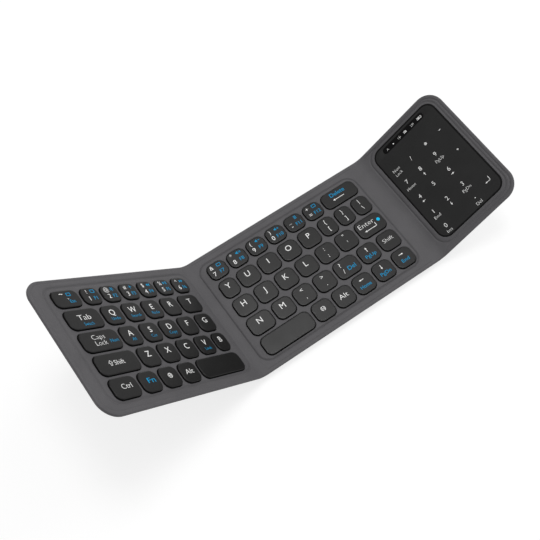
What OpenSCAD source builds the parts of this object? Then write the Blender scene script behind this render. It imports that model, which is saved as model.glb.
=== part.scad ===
// Folding keyboard in three panels. Leather skins cover thin trays, and bend at two folds.
// X runs along the keyboard, Y from its front edge to its back edge, Z up.
// The origin is the centre of the middle panel's underside, which lies on the desk.
// The left and right panels are drawn flat and then turned up about their folds.

/* [Key grid] */
// Distance between neighbouring letter keys
key_pitch = 17; // [16:0.1:18.5]
// Distance between rows of letter keys
row_pitch = 16.4; // [15.5:0.1:18]
// Depth of a cell in the row of number keys
number_row_depth = 14.7; // [13.5:0.1:17]
// Gap between the tops of neighbouring keys
key_gap = 2.4; // [2.2:0.05:3.2]
// Corner radius of a keycap
key_corner_r = 4.3; // [3:0.1:5]
// Height of a keycap above the leather
key_rise = 1; // [0.6:0.1:1.6]
// Distance that a key travels when it is pressed
key_travel = 1.2; // [0.8:0.1:1.3]
// Bevel round the top of a keycap
key_bevel = 0.4; // [0.2:0.05:0.6]
// Thickness of a keycap's top and walls
key_wall = 1.1; // [0.8:0.1:1.4]
// Width of the flange that holds a key under its frame
key_flange_w = 0.8; // [0.65:0.05:0.9]
// Thickness of the same flange
key_flange_t = 0.6; // [0.4:0.1:0.8]
// Clearance between a keycap and the hole it moves in
key_clear = 0.4; // [0.3:0.05:0.5]

/* [Panels] */
// Leather from the key field to the front edge
field_margin_front = 7.15; // [7:0.05:10]
// Leather from the key field to the back edge
field_margin_back = 8.35; // [7.5:0.05:11]
// Thickness of every panel
panel_t = 6.4; // [6.4:0.1:7.4]
// Leather from the middle panel's left end to its keys
middle_margin_left = 5.5; // [5:0.1:9]
// Leather from the middle panel's right end to its keys
middle_margin_right = 5.8; // [5:0.1:9]
// Leather from the left panel's fold end to its keys
left_margin_fold = 5.2; // [4.8:0.1:8]
// Leather from the left panel's free end to its keys
left_margin_free = 12.9; // [10:0.1:16]
// Leather from the right panel's fold end to the touch plate
right_margin_fold = 3.8; // [3.4:0.1:7]
// Leather from the right panel's free end to the touch plate
right_margin_free = 6.6; // [5:0.1:10]
// Radius of the free corners seen from above
corner_r = 12.5; // [11:0.5:16]

/* [Skins] */
// Thickness of the leather skins
skin_t = 0.8; // [0.6:0.1:1]
// Thickness of the edge where both skins are pressed together
lip_t = 2; // [1.8:0.1:2.2]
// Width of the pressed edge
lip_w = 3; // [2.6:0.1:3.2]
// Width of the slope under the panel edges
bevel_w = 6; // [5:0.1:6.2]
// Width of the slope under the fold ends
fold_bevel_w = 3; // [2.6:0.1:3.2]
// Rounding of the leather's top edge
edge_soft = 0.4; // [0.2:0.05:0.5]
// Width of the pressed groove round each field
groove_w = 0.8; // [0.5:0.1:1.2]
// Depth of the same groove
groove_d = 0.3; // [0.2:0.05:0.5]
// Distance of the groove from the front, back and free edges
groove_inset = 4.7; // [3.5:0.1:5.2]
// Distance of the left panel's groove from its outermost keys
groove_key_gap = 3.2; // [1.5:0.1:4]
// Distance of the groove from the fold ends
groove_fold_inset = 1.5; // [1:0.1:2.2]
// Corner radius of the groove
groove_r = 8; // [5:0.5:9]
// Distance of the touch panel's groove from its front, back and free edges
touch_groove_inset = 2.4; // [2:0.1:3]
// Distance of the same groove from the fold end
touch_groove_fold_inset = 0.7; // [0.6:0.1:1.5]
// Corner radius of the same groove
touch_groove_r = 9.5; // [8:0.5:11]

/* [Trays and switches] */
// Clearance between a tray and the moulded skin round it
tray_clear = 0.1; // [0.05:0.05:0.2]
// Thickness of the tray's walls
tray_wall = 0.8; // [0.6:0.1:0.9]
// Thickness of the frame that guides the keys
frame_t = 1.2; // [1:0.1:1.3]
// Thickness of the switch membrane
membrane_t = 0.3; // [0.2:0.05:0.4]
// Thickness of the dome sheet between its domes
dome_sheet_t = 0.3; // [0.2:0.05:0.4]
// Radius of a rubber dome at its foot
dome_r = 3.2; // [2.8:0.1:3.4]
// Radius of a dome's top and of the post that presses it
dome_top_r = 1.9; // [1.6:0.1:2.2]

/* [Folds] */
// Angle that the left panel is raised by
left_fold = 44; // [20:1:60]
// Angle that the right panel is raised by
right_fold = 36; // [20:1:60]
// Distance from the left fold's corner line to each panel end
left_fold_reach = 4.2; // [3.6:0.1:6]
// Distance from the right fold's corner line to the end of its bend
right_fold_reach = 4.6; // [4:0.1:6]
// Flat stretch of leather between the middle panel and the right bend
right_fold_flat = 3.1; // [2.5:0.1:6]
// Gap between the keycaps when the left panel is shut on the middle one
shut_gap = 1; // [0.6:0.1:2]
// Gap between the touch plate and the left panel's back when all is shut
stack_gap = 0.6; // [0.4:0.1:2]
// Width of the ribbon cables in the folds
ribbon_w = 18; // [8:1:30]
// Thickness of the ribbon cables
ribbon_t = 0.2; // [0.1:0.05:0.3]

/* [Touch panel] */
// Width of the touch plate
touch_w = 56.7; // [52:0.1:66]
// Leather from the touch plate to the front edge
touch_margin_front = 7.55; // [6.2:0.05:10]
// Leather from the touch plate to the back edge
touch_margin_back = 5.55; // [5.3:0.05:9]
// Corner radius of the touch plate
touch_r = 7.5; // [5:0.5:9]
// Thickness of the touch plate
touch_t = 1; // [0.9:0.05:1.1]
// Clearance round the touch plate
touch_clear = 0.15; // [0.1:0.05:0.3]
// Width of the ledge that carries the touch plate
ledge_w = 2; // [1.5:0.1:3]
// Thickness of the touch sensor board
touch_board_t = 0.8; // [0.6:0.1:0.9]
// Length of the indicator window
window_len = 38.5; // [30:0.5:44]
// Width of the indicator window
window_w = 4.6; // [3.5:0.1:6]
// Distance of the window's centre from the touch plate's back edge
window_inset = 4.7; // [4:0.1:7]

/* [Electronics] */
// Width of the battery
battery_w = 40; // [30:1:44]
// Depth of the battery
battery_d = 46; // [30:1:48]
// Thickness of the battery
battery_t = 2.1; // [1.6:0.1:2.2]
// Width of the main board
board_w = 44; // [38:1:48]
// Depth of the main board
board_d = 18; // [15:1:20]
// Thickness of the main board
board_t = 0.8; // [0.6:0.1:1]
// Width of the charging port's shell
port_w = 7.6; // [7:0.1:9]
// Height of the charging port's shell
port_h = 2.5; // [2.3:0.1:2.6]
// Length of the charging port's shell
port_len = 6; // [5:0.1:8]
// Wall of the charging port's shell
port_wall = 0.3; // [0.2:0.05:0.4]

/* [Hidden] */
$fn = 64;
eps = 0.01;
leather = [0.34, 0.34, 0.35];
keys_black = [0.19, 0.19, 0.20];
plastic_black = [0.12, 0.12, 0.13];
rubber_grey = [0.55, 0.56, 0.58];
film_green = [0.16, 0.36, 0.30];

// Cells of each row, back row first, left to right: [node, width in key pitches]
left_number_cell = 0.933;
middle_number_cell = 0.943;
function number_cells(name, count, cell) = [for (i = [1:count]) [name, cell]];
left_rows = [
    concat([["numbers_left", 1.29]], number_cells("numbers_left", 6, left_number_cell)),
    [["modifiers_left", 1.66], ["q", 1], ["w", 1], ["e", 1], ["r", 1], ["t", 1.18]],
    [["modifiers_left", 1.84], ["a", 1], ["s", 1], ["d", 1], ["f", 1], ["g", 1]],
    [["modifiers_left", 2.00], ["z", 1], ["x", 1], ["c", 1], ["v", 1], ["b", 0.84]],
    [["modifiers_left", 1.31], ["modifiers_left", 1], ["modifiers_left", 1],
     ["modifiers_left", 1], ["space_left", 2.53]]
];
middle_rows = [
    concat(number_cells("numbers_middle", 6, middle_number_cell), [["symbols_middle", 1.77]]),
    [["y", 0.844], ["u", 1], ["i", 1], ["o", 1], ["p", 1],
     ["symbols_middle", 0.862], ["symbols_middle", 0.862], ["symbols_middle", 0.862]],
    [["h", 1.01], ["j", 1], ["k", 1], ["l", 1],
     ["symbols_middle", 1], ["symbols_middle", 1], ["enter", 1.42]],
    [["n", 1.19], ["m", 1], ["symbols_middle", 1], ["symbols_middle", 1],
     ["symbols_middle", 1.21], ["arrows", 1], ["symbols_middle", 1.03]],
    [["space_right", 2.41], ["symbols_middle", 1], ["symbols_middle", 1],
     ["arrows", 1], ["arrows", 1], ["arrows", 1.02]]
];
left_field_cells = 6.84;
middle_field_cells = 7.43;
rows = len(left_rows);

// Heights above the desk, for a panel that lies flat
lip_z = panel_t - lip_t;
skin_z = panel_t - skin_t;
frame_z = skin_z - frame_t;
flange_clear = 0.05;
flange_top_z = frame_z - flange_clear;
key_foot_z = flange_top_z - key_flange_t;
key_top_z = panel_t + key_rise;
foot_clear = 0.05;
domes_z = key_foot_z - key_travel - foot_clear;
floor_z = domes_z - dome_sheet_t - membrane_t;

// Depth of every panel, front to back, and the depth of the touch plate
field_depth = number_row_depth + (rows - 1) * row_pitch;
panel_depth = field_depth + field_margin_front + field_margin_back;
touch_d = panel_depth - touch_margin_front - touch_margin_back;
touch_back = (touch_margin_front - touch_margin_back) / 2;

// Lengths of the rigid panels, and places of the folds
middle_len = middle_field_cells * key_pitch + middle_margin_left + middle_margin_right;
left_len = left_field_cells * key_pitch + left_margin_fold + left_margin_free;
right_len = touch_w + right_margin_fold + right_margin_free;
left_pivot_h = key_rise + shut_gap / 2;
right_pivot_h = left_pivot_h + (panel_t + stack_gap) / 2;
left_foot = left_fold_reach - left_pivot_h * tan(left_fold / 2);
right_foot = right_fold_reach - right_pivot_h * tan(right_fold / 2);
left_pivot = [-middle_len / 2 - left_foot, 0, panel_t + left_pivot_h];
right_pivot = [middle_len / 2 + right_fold_flat + right_foot, 0, panel_t + right_pivot_h];
left_end_x = left_pivot[0] - left_foot;
right_end_x = right_pivot[0] + right_foot;

// ---------- places ----------

module at_left() translate(left_pivot) rotate([0, left_fold, 0]) translate(-left_pivot) children();
module at_right() translate(right_pivot) rotate([0, -right_fold, 0]) translate(-right_pivot) children();

// Puts a free panel, drawn with its fold end at x = 0 and its free end towards +X, in its flat place
module flat_left() translate([left_end_x, 0, 0]) mirror([1, 0, 0]) children();
module flat_right() translate([right_end_x, 0, 0]) children();

// ---------- shapes ----------

// Rectangle with round corners, centred
module round_rect(w, d, r) {
    square([w - 2 * r, d], center = true);
    square([w, d - 2 * r], center = true);
    for (x = [-1, 1], y = [-1, 1]) translate([x * (w / 2 - r), y * (d / 2 - r)]) circle(r);
}

// Slab of a free panel between two heights. Its front, back and free edges are drawn in by
// in0 at the bottom and in1 at the top, and its fold end by fold0 and fold1.
module free_slab(len, z0, z1, in0, in1, fold0, fold1) {
    d = panel_depth;
    centre = [len - corner_r, d / 2 - corner_r];
    difference() {
        slab(fold0, fold1, len - in0, len - in1, z0, z1, in0, in1);
        for (s = [-1, 1]) translate([centre[0], s > 0 ? centre[1] : -d, z0 - 1])
            cube([corner_r + 1, d - centre[1], z1 - z0 + 2]);
    }
    for (s = [0, 1]) mirror([0, s, 0]) translate([centre[0], centre[1], 0])
        rotate_extrude(angle = 90)
            polygon([[0, z0], [corner_r - in0, z0], [corner_r - in1, z1], [0, z1]]);
}

// Slab with straight edges: x from xa to xb at the bottom and from xc to xd at the top
module slab(xa, xc, xb, xd, z0, z1, in0, in1) {
    half = panel_depth / 2;
    intersection() {
        rotate([90, 0, 0]) linear_extrude(panel_depth + 2, center = true)
            polygon([[xa, z0], [xb, z0], [xd, z1], [xc, z1]]);
        rotate([90, 0, 90]) translate([0, 0, min(xa, xc) - 1])
            linear_extrude(max(xb, xd) - min(xa, xc) + 2)
                polygon([[in0 - half, z0], [half - in0, z0], [half - in1, z1], [in1 - half, z1]]);
    }
}

// Slab of the middle panel, which has a fold at both ends
module middle_slab(z0, z1, in0, in1, fold0, fold1)
    slab(fold0 - middle_len / 2, fold1 - middle_len / 2,
         middle_len / 2 - fold0, middle_len / 2 - fold1, z0, z1, in0, in1);

// Slab of the panel called by its name, at its flat place
module panel_slab(panel, z0, z1, in0, in1, fold0, fold1) {
    if (panel == "middle") middle_slab(z0, z1, in0, in1, fold0, fold1);
    if (panel == "left") flat_left() free_slab(left_len, z0, z1, in0, in1, fold0, fold1);
    if (panel == "right") flat_right() free_slab(right_len, z0, z1, in0, in1, fold0, fold1);
}

// How far the pocket in the moulded back skin lies inside the panel's outline, at height z
rim_w = 1.5;
fold_lip_w = 2.5;
function pocket_share(z) = (skin_z - z) / (skin_z - skin_t);
function pocket_in(z) = lip_w + (bevel_w + rim_w - lip_w) * pocket_share(z);
function pocket_fold_in(z) = fold_lip_w + (fold_bevel_w + rim_w - fold_lip_w) * pocket_share(z);

// Slab that fills the pocket between two heights, drawn in by a clearance
module pocket_slab(panel, z0, z1, clear = 0)
    panel_slab(panel, z0, z1, pocket_in(z0) + clear, pocket_in(z1) + clear,
               pocket_fold_in(z0) + clear, pocket_fold_in(z1) + clear);

// ---------- key layout ----------

function row_cells(panel, row) = panel == "left" ? left_rows[row] : middle_rows[row];
function field_x(panel) = panel == "left"
    ? left_end_x - left_margin_fold - left_field_cells * key_pitch
    : -middle_len / 2 + middle_margin_left;
function cells_before(cells, n) = n == 0 ? 0 : cells[n - 1][1] + cells_before(cells, n - 1);
function cell_x(panel, row, n) = field_x(panel)
    + (cells_before(row_cells(panel, row), n) + row_cells(panel, row)[n][1] / 2) * key_pitch;
function row_depth(row) = row == 0 ? number_row_depth : row_pitch;
function row_y(row) = panel_depth / 2 - field_margin_back
    - (row == 0 ? number_row_depth / 2 : number_row_depth + (row - 0.5) * row_pitch);

// Runs its children once for each cell whose node is wanted, with $w and $d set to the keycap's size
module each_key(panel, wanted = "") {
    for (row = [0:rows - 1]) {
        cells = row_cells(panel, row);
        for (n = [0:len(cells) - 1]) if (wanted == "" || cells[n][0] == wanted) {
            $w = cells[n][1] * key_pitch - key_gap;
            $d = row_depth(row) - key_gap;
            translate([cell_x(panel, row, n), row_y(row), 0]) children();
        }
    }
}

// ---------- keys ----------

// Hollow cap with a flange at its foot and a post that stands on the dome
module keycap(w, d) {
    bevel_z = key_top_z - key_bevel;
    flange_r = key_corner_r + key_flange_w;
    inner_r = key_corner_r - key_wall;
    difference() {
        union() {
            translate([0, 0, key_foot_z]) linear_extrude(bevel_z - key_foot_z)
                round_rect(w, d, key_corner_r);
            translate([0, 0, key_foot_z]) linear_extrude(key_flange_t)
                round_rect(w + 2 * key_flange_w, d + 2 * key_flange_w, flange_r);
            bevelled_top(w, d, bevel_z);
        }
        translate([0, 0, key_foot_z - 1]) linear_extrude(key_top_z - key_wall - key_foot_z + 1)
            round_rect(w - 2 * key_wall, d - 2 * key_wall, inner_r);
    }
    translate([0, 0, key_foot_z]) cylinder(h = key_top_z - key_wall / 2 - key_foot_z, r = dome_top_r);
}

// Top of a keycap, drawn in all round by the bevel. A lower half of the same form sinks it
// into the cap.
module bevelled_top(w, d, z) {
    r = key_corner_r;
    b = key_bevel;
    translate([0, 0, z]) {
        intersection() {
            rotate([90, 0, 0]) linear_extrude(d - 2 * r, center = true) bevel_profile(w);
            translate([-w / 2, -d / 2, -b]) cube([w, d, 2 * b]);
        }
        rotate([90, 0, 90]) linear_extrude(w - 2 * r, center = true) bevel_profile(d);
        for (x = [-1, 1], y = [-1, 1]) translate([x * (w / 2 - r), y * (d / 2 - r), 0]) {
            cylinder(h = b, r1 = r, r2 = r - b);
            translate([0, 0, -b]) cylinder(h = b, r1 = r - b, r2 = r);
        }
    }
}

module bevel_profile(w) {
    x = w / 2;
    b = key_bevel;
    polygon([[b - x, -b], [x - b, -b], [x, 0], [x - b, b], [b - x, b], [-x, 0]]);
}

// All the keys of one node, on whichever panel they are
module key_node(name) color(keys_black) {
    at_left() each_key("left", name) keycap($w, $d);
    each_key("middle", name) keycap($w, $d);
}

// ---------- skins ----------

// Leather on the front of a panel: a plate with a softened edge
module skin_plate(panel) {
    panel_slab(panel, skin_z, panel_t - edge_soft, 0, 0, 0, 0);
    panel_slab(panel, panel_t - edge_soft, panel_t, 0, edge_soft, 0, 0);
}

// Pressed line that follows a rectangle from x0 to x1
module groove(x0, x1, inset, r) {
    w = x1 - x0;
    d = panel_depth - 2 * inset;
    translate([(x0 + x1) / 2, 0, panel_t - groove_d]) linear_extrude(groove_d + 1) difference() {
        round_rect(w + groove_w, d + groove_w, r + groove_w / 2);
        round_rect(w - groove_w, d - groove_w, r - groove_w / 2);
    }
}

// Front skin over keys, with a hole for each keycap
module key_skin(panel) color(leather) difference() {
    skin_plate(panel);
    key_holes(panel, skin_z - 1, panel_t + 1);
    if (panel == "middle")
        groove(groove_fold_inset - middle_len / 2, middle_len / 2 - groove_fold_inset,
               groove_inset, groove_r);
    else
        groove(left_end_x - left_len + left_margin_free - groove_key_gap,
               left_end_x - groove_fold_inset, groove_inset, groove_r);
}

module key_holes(panel, z0, z1)
    each_key(panel) translate([0, 0, z0]) linear_extrude(z1 - z0)
        round_rect($w + 2 * key_clear, $d + 2 * key_clear, key_corner_r + key_clear);

// Moulded back skin: a dish with sloping sides and a flat lip
module back_skin(panel, ribbons) color(leather) difference() {
    union() {
        panel_slab(panel, 0, lip_z, bevel_w, 0, fold_bevel_w, 0);
        panel_slab(panel, lip_z, skin_z, 0, 0, 0, 0);
    }
    pocket_slab(panel, skin_t, skin_z + eps);
    for (x = ribbons) ribbon_notch(x);
}

// Slot in the lip for a ribbon cable, centred on the panel end at x
ribbon_clear = 0.5;
module ribbon_notch(x) {
    w = ribbon_w + 2 * ribbon_clear;
    translate([x - fold_lip_w - 1, -w / 2, skin_z - band_gap])
        cube([2 * (fold_lip_w + 1), w, band_gap + 1]);
}

// ---------- trays, frames and switches ----------

module dish(panel) difference() {
    pocket_slab(panel, skin_t, frame_z, tray_clear);
    pocket_slab(panel, floor_z, frame_z + eps, tray_clear + tray_wall);
}

// Tray under keys, with pins that are melted over into the key frame
module tray(panel) color(plastic_black) {
    dish(panel);
    each_stake(panel) stake(stake_r, floor_z - eps, skin_z - stake_clear);
}

// Plate that guides the keys and holds their flanges down
module key_frame(panel) color(plastic_black) difference() {
    pocket_slab(panel, frame_z, skin_z, tray_clear);
    key_holes(panel, frame_z - 1, skin_z + 1);
    each_stake(panel) stake(stake_r + stake_clear, frame_z - 1, skin_z + eps);
}

// Runs its children where pins stand: at every second side of a cell, where two round
// corners of keycaps leave room
stake_r = 0.7;
stake_clear = 0.1;
stake_head = 0.5;
stake_in = 0.3 * key_corner_r;
module each_stake(panel) {
    for (row = [1:rows - 1]) {
        cells = row_cells(panel, row);
        for (n = [1:2:len(cells) - 1])
            translate([field_x(panel) + cells_before(cells, n) * key_pitch,
                       row_y(row) + row_pitch / 2 - stake_in, 0])
                children();
    }
}

// Pin with a cone for its head, from z0 to z1. The hole for it is the same shape, grown.
module stake(r, z0, z1) {
    cone_z = skin_z - stake_head;
    translate([0, 0, z0]) cylinder(h = cone_z - z0, r = r);
    translate([0, 0, cone_z]) cylinder(h = z1 - cone_z, r1 = r, r2 = r + z1 - cone_z);
}

// Holes in a sheet for the pins to pass through
module stake_holes(panel, z0, z1)
    each_stake(panel) translate([0, 0, z0 - 1]) cylinder(h = z1 - z0 + 2, r = stake_r + stake_clear);

// Sheet on the tray's floor, as large as the floor allows
sheet_clear = 0.3;
module sheet(panel, z0, z1)
    panel_slab(panel, z0, z1, sheet_in, sheet_in, sheet_fold_in, sheet_fold_in);
sheet_in = pocket_in(floor_z) + tray_clear + tray_wall + sheet_clear;
sheet_fold_in = pocket_fold_in(floor_z) + tray_clear + tray_wall + sheet_clear;

module membrane(panel) color(film_green) difference() {
    sheet(panel, floor_z, floor_z + membrane_t);
    stake_holes(panel, floor_z, floor_z + membrane_t);
}

// Rubber sheet with a hollow dome under each key
dome_wall = 0.45;
module dome_sheet(panel) color(rubber_grey) {
    z0 = floor_z + membrane_t;
    dome_h = key_foot_z - domes_z;
    difference() {
        union() {
            sheet(panel, z0, domes_z);
            each_key(panel) translate([0, 0, domes_z]) cylinder(h = dome_h, r1 = dome_r, r2 = dome_top_r);
        }
        each_key(panel) translate([0, 0, z0 - eps])
            cylinder(h = dome_h - dome_wall + dome_sheet_t,
                     r1 = dome_r - dome_wall, r2 = dome_top_r - dome_wall);
        stake_holes(panel, z0, domes_z);
    }
}

// ---------- folds ----------

band_gap = lip_t - 2 * skin_t;

// Ring sector in the X-Z plane, bent up round a centre above the panels. The depth below
// the top of the leather runs from t0 to t1.
module bend_profile(radius, angle, t0, t1) {
    reach = 2 * (radius + t1);
    intersection() {
        difference() {
            circle(radius + t1);
            circle(radius + t0);
        }
        translate([-reach, -reach]) square(reach);
        rotate(-angle) translate([0, -reach]) square(reach);
    }
}

// Layer of a fold: a flat stretch, then the bend. It starts at x = 0 and runs towards -X.
module fold_layer(reach, angle, flat, t0, t1, w) {
    radius = reach / tan(angle / 2);
    rotate([90, 0, 0]) linear_extrude(w, center = true) {
        translate([-flat, radius]) bend_profile(radius, angle, t0, t1);
        if (flat > 0) translate([-flat, -t1]) square([flat, t1 - t0]);
    }
}

// Both leather layers of a fold, with the gap for the ribbon cable between them
module fold_bands(reach, angle, flat) color(leather) {
    fold_layer(reach, angle, flat, 0, skin_t, panel_depth);
    fold_layer(reach, angle, flat, lip_t - skin_t, lip_t, panel_depth);
}

// Ribbon cable with a stiffened end that reaches into each panel
stiff_t = 0.05;
stiff_lap = 0.3;
ribbon_top = skin_t + (band_gap - ribbon_t) / 2;
module ribbon(reach, angle, flat) color("darkorange") {
    radius = reach / tan(angle / 2);
    end_t = ribbon_t + 2 * stiff_t;
    end_z = -ribbon_top - ribbon_t - stiff_t;
    fold_layer(reach, angle, flat, ribbon_top, ribbon_top + ribbon_t, ribbon_w);
    rotate([90, 0, 0]) linear_extrude(ribbon_w, center = true) {
        translate([-stiff_lap, end_z]) square([stiff_lap + fold_lip_w, end_t]);
        translate([-flat, radius]) rotate(-angle)
            translate([-fold_lip_w, end_z - radius]) square([stiff_lap + fold_lip_w, end_t]);
    }
}

module at_left_fold() translate([-middle_len / 2, 0, panel_t]) children();
module at_right_fold() translate([middle_len / 2, 0, panel_t]) mirror([1, 0, 0]) children();
module left_fold_bands() at_left_fold() fold_bands(left_fold_reach, left_fold, 0);
module right_fold_bands() at_right_fold() fold_bands(right_fold_reach, right_fold, right_fold_flat);
module left_ribbon() at_left_fold() ribbon(left_fold_reach, left_fold, 0);
module right_ribbon() at_right_fold() ribbon(right_fold_reach, right_fold, right_fold_flat);

// ---------- touch panel ----------

touch_x = right_end_x + right_margin_fold + touch_w / 2;
touch_z = panel_t - touch_t;
window_y = touch_back + touch_d / 2 - window_inset;
window_clear = 0.05;

module at_touch() translate([touch_x, touch_back, 0]) children();

module right_front_skin() color(leather) at_right() difference() {
    skin_plate("right");
    groove(right_end_x + touch_groove_fold_inset, right_end_x + right_len - touch_groove_inset,
           touch_groove_inset, touch_groove_r);
    at_touch() translate([0, 0, skin_z - 1]) linear_extrude(skin_t + 2)
        round_rect(touch_w + 2 * touch_clear, touch_d + 2 * touch_clear, touch_r + touch_clear);
}

// Dark plate with a slot for the indicator window
module touch_plate() color(plastic_black) at_right() difference() {
    at_touch() translate([0, 0, touch_z]) linear_extrude(touch_t) round_rect(touch_w, touch_d, touch_r);
    translate([touch_x, window_y, touch_z - 1]) linear_extrude(touch_t + 2)
        round_rect(window_len + 2 * window_clear, window_w + 2 * window_clear,
                   window_w / 2 + window_clear - eps);
}

module indicator_window() color([0.05, 0.05, 0.06]) at_right()
    translate([touch_x, window_y, touch_z]) linear_extrude(touch_t)
        round_rect(window_len, window_w, window_w / 2 - eps);

touch_board_w = touch_w - 2 * ledge_w - 2 * touch_clear;
touch_board_d = touch_d - 2 * ledge_w - 2 * touch_clear;

module touch_board() color(film_green) at_right()
    at_touch() translate([0, 0, touch_z - touch_board_t]) linear_extrude(touch_board_t)
        round_rect(touch_board_w, touch_board_d, touch_r - ledge_w);

// Frame with a ledge that carries the touch plate
module right_frame() color(plastic_black) at_right() difference() {
    pocket_slab("right", frame_z, skin_z, tray_clear);
    at_touch() translate([0, 0, touch_z]) linear_extrude(frame_t)
        round_rect(touch_w + 2 * touch_clear, touch_d + 2 * touch_clear, touch_r + touch_clear);
    at_touch() translate([0, 0, frame_z - 1]) linear_extrude(frame_t + 2)
        round_rect(touch_w - 2 * ledge_w, touch_d - 2 * ledge_w, touch_r - ledge_w + touch_clear);
}

// ---------- electronics ----------

// The port opens through a block that fills the slope under the back edge
port_x = touch_x;
port_z = floor_z + board_t / 2;
port_y = panel_depth / 2 - port_len;
port_surround = 2;
port_block_w = port_w + 2 * port_surround;
port_block_h = lip_z - skin_t;
board_y = panel_depth / 2 - pocket_in(floor_z) - tray_clear - tray_wall - sheet_clear - board_d / 2;
battery_y = board_y - board_d / 2 - battery_d / 2 - 2;

// Mouth of the charging port: a rectangle with its lower corners cut
module port_outline(grow = 0) {
    w = port_w / 2 + grow;
    h = port_h / 2 + grow;
    cut = port_h * 0.3;
    polygon([[-w, h], [w, h], [w, cut - h], [w - cut, -h], [cut - w, -h], [-w, cut - h]]);
}

module port_prism(y0, y1, grow = 0)
    translate([port_x, y1, port_z]) rotate([90, 0, 0]) linear_extrude(y1 - y0) port_outline(grow);

module charging_port() color("silver") at_right() {
    edge = panel_depth / 2;
    tongue_w = port_w - 3;
    difference() {
        port_prism(port_y, edge);
        port_prism(port_y + port_wall, edge + 1, -port_wall);
    }
    translate([port_x - tongue_w / 2, port_y, port_z - 0.1]) cube([tongue_w, port_len - 1, 0.6]);
}

module right_tray() color(plastic_black) at_right() difference() {
    union() {
        dish("right");
        port_block(0);
        battery_bay();
        touch_ribs();
        board_pegs(peg_r, floor_z - eps, floor_z + board_t + peg_rise);
    }
    port_prism(panel_depth / 2 - bevel_w - 2 * port_surround, panel_depth / 2 + 1, touch_clear);
}

// Four corners that hold the battery in its place
bay_clear = 0.4;
rib_w = 1;
bay_leg = 8;
bay_h = 0.8 * battery_t;
module battery_bay() translate([touch_x, battery_y, floor_z - eps]) {
    w = battery_w / 2 + bay_clear;
    d = battery_d / 2 + bay_clear;
    for (x = [0, 1], y = [0, 1]) mirror([x, 0, 0]) mirror([0, y, 0]) {
        translate([w, d - bay_leg, 0]) cube([rib_w, bay_leg + rib_w, bay_h]);
        translate([w - bay_leg, d, 0]) cube([bay_leg + rib_w, rib_w, bay_h]);
    }
}

// Ribs in front of the battery that hold up the touch board
rib_len = 6;
rib_clear = 0.1;
module touch_ribs() {
    top = touch_z - touch_board_t - rib_clear;
    y0 = battery_y - battery_d / 2 - bay_clear - 2 * rib_w - rib_len;
    for (i = [-1:1]) translate([touch_x + i * battery_w / 2 - rib_w / 2, y0, floor_z - eps])
        cube([rib_w, rib_len, top - floor_z + eps]);
}

// Pegs through the corners of the main board
peg_r = 0.8;
peg_clear = 0.1;
peg_rise = 0.4;
peg_in = 2;
module board_pegs(r, z0, z1)
    for (x = [-1, 1], y = [-1, 1])
        translate([port_x + x * (board_w / 2 - peg_in), board_y + y * (board_d / 2 - peg_in), z0])
            cylinder(h = z1 - z0, r = r);

module port_block(grow)
    translate([port_x - port_block_w / 2 - grow, panel_depth / 2 - bevel_w - rim_w, skin_t - grow])
        cube([port_block_w + 2 * grow, bevel_w + rim_w + (grow > 0 ? 1 : 0), port_block_h + grow]);

module right_back_skin() at_right() difference() {
    back_skin("right", [right_end_x]);
    port_block(tray_clear);
}

module battery() color([0.5, 0.52, 0.55]) at_right()
    translate([touch_x, battery_y, floor_z]) linear_extrude(battery_t)
        round_rect(battery_w, battery_d, 1.5);

// Board with its radio module, controller, connector and coil. Each part stands at a share
// of the board's width and depth.
chip_h = 1.1;
module chip(x, y, w, d)
    translate([port_x + x * board_w - w * board_w / 2, board_y + y * board_d - d * board_d / 2,
               floor_z + board_t])
        cube([w * board_w, d * board_d, chip_h]);

module main_board() color(film_green) at_right() {
    difference() {
        translate([port_x - board_w / 2, board_y - board_d / 2, floor_z]) cube([board_w, board_d, board_t]);
        port_prism(port_y - 1, panel_depth / 2 + 1, touch_clear);
        board_pegs(peg_r + peg_clear, floor_z - 1, floor_z + board_t + 1);
    }
    chip(-0.27, 0.11, 0.23, 0.55);
    chip(0, -0.22, 0.14, 0.33);
    chip(0.31, -0.25, 0.25, 0.17);
    translate([port_x + 0.3 * board_w, board_y + 0.2 * board_d, floor_z + board_t])
        cylinder(h = chip_h, r = 0.1 * board_d);
}

// ---------- what each node draws ----------

module left_front_skin() at_left() key_skin("left");
module left_key_frame() at_left() key_frame("left");
module left_dome_sheet() at_left() dome_sheet("left");
module left_membrane() at_left() membrane("left");
module left_tray() at_left() tray("left");
module left_back_skin() at_left() back_skin("left", [left_end_x]);

LETTERS = "qwertasdfgzxcvbyuiophjklnm";
KEY_GROUPS = ["space_left", "space_right", "enter", "arrows", "numbers_left", "numbers_middle",
              "modifiers_left", "symbols_middle"];
KEYS = concat([for (c = LETTERS) c], KEY_GROUPS);
function key_node_name(key) = len(key) == 1 || key == "enter" || key[0] == "s" && key[1] == "p"
    ? str("key_", key) : str("keys_", key);

key_skin("middle");  // middle_front_skin
key_frame("middle");  // middle_key_frame
dome_sheet("middle");  // middle_dome_sheet
membrane("middle");  // middle_membrane
tray("middle");  // middle_tray
back_skin("middle", [-middle_len / 2, middle_len / 2]);  // middle_back_skin
left_front_skin();
left_key_frame();
left_dome_sheet();
left_membrane();
left_tray();
left_back_skin();
right_front_skin();
touch_plate();
indicator_window();
touch_board();
right_frame();
battery();
main_board();
charging_port();
right_tray();
right_back_skin();
left_fold_bands();
right_fold_bands();
left_ribbon();
right_ribbon();
for (key = KEYS) key_node(key);
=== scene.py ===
import functools
import math
import bmesh
import bpy
import numpy as np
from mathutils import Matrix, Vector
from mathutils.geometry import delaunay_2d_cdt


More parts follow.
